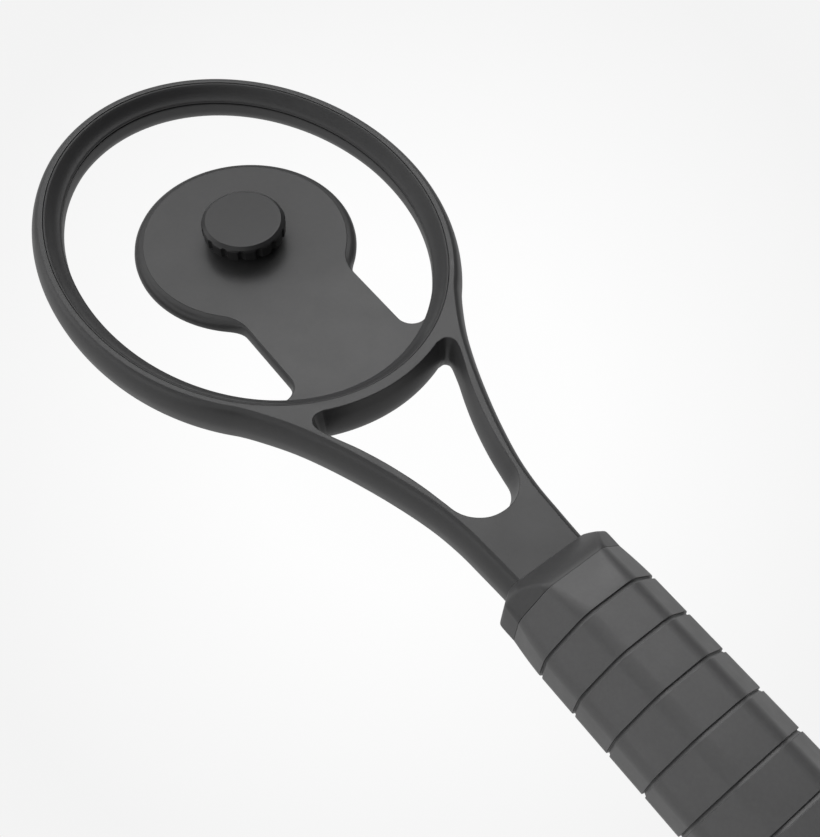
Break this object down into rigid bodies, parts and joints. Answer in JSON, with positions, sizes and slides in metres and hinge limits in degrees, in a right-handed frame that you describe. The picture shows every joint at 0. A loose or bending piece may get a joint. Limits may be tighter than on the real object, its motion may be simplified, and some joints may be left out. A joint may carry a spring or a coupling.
{
  "type": "vr motion controller racket frame",
  "caption": "Racket-shaped hand frame with an oval ring, a centre plate with a thumb screw clamp for a motion tracker, and an octagonal rubber grip with a wrist strap.",
  "frame": {"origin": "middle of the whole object's bounding box, which lies in the middle of the grip; the thumb screw's axis is at y = 0.21175", "axes": "+Y from the handle to the tip of the ring, +Z to the knob side, +X to the right seen from the knob side"},
  "size_m": [0.118, 0.5683, 0.0344],
  "materials": {
    "frame_plastic": "satin moulded",
    "knob_plastic": "satin moulded",
    "liner_rubber": "matt",
    "grip_rubber": "matt, fine texture",
    "collar_rubber": "matt",
    "core_plastic": "moulded",
    "steel": "turned",
    "brass": "turned",
    "cord_fabric": "braided",
    "button_plastic": "satin moulded"
  },
  "bodies": {
    "racket": {"frame": "frame_plastic", "rim_liner": "liner_rubber", "plate_bush": "brass", "tracker_pad": "liner_rubber", "locating_pin": "steel", "thrust_washer": "brass", "handle_core_front": "core_plastic", "handle_core_rear": "core_plastic", "core_screw_1": "steel", "core_screw_2": "steel", "core_screw_3": "steel", "core_screw_4": "steel", "core_insert_1": "brass", "core_insert_2": "brass", "core_insert_3": "brass", "core_insert_4": "brass", "balance_weight": "steel", "grip_collar": "collar_rubber", "grip_sleeve": "grip_rubber", "butt_cap": "collar_rubber", "butt_screw_1": "steel", "butt_screw_2": "steel", "strap_pin": "steel"},
    "knob": {"knob": "knob_plastic", "thumb_screw": "steel", "retaining_clip": "steel"},
    "strap": {"wrist_strap": "cord_fabric", "strap_ferrule": "steel"},
    "cord_lock": {"cord_lock_body": "knob_plastic"},
    "lock_button": {"cord_lock_button": "button_plastic", "cord_lock_spring": "steel"}
  },
  "joints": [
    {"name": "knob_turn", "type": "hinge", "parent": "racket", "child": "knob", "pos_m": [0, 0.21175, 0], "axis": [0, 0, 1], "continuous": true},
    {"name": "strap_swing", "type": "hinge", "parent": "racket", "child": "strap", "pos_m": [0, -0.07325, 0], "axis": [1, 0, 0], "range_deg": [-40, 34]},
    {"name": "lock_slide", "type": "slide", "parent": "strap", "child": "cord_lock", "axis": [0, -0.9976, -0.0698], "range_m": [-0.004, 0.028]},
    {"name": "button_press", "type": "slide", "parent": "cord_lock", "child": "lock_button", "axis": [-1, 0, 0], "range_m": [0, 0.002]}
  ]
}
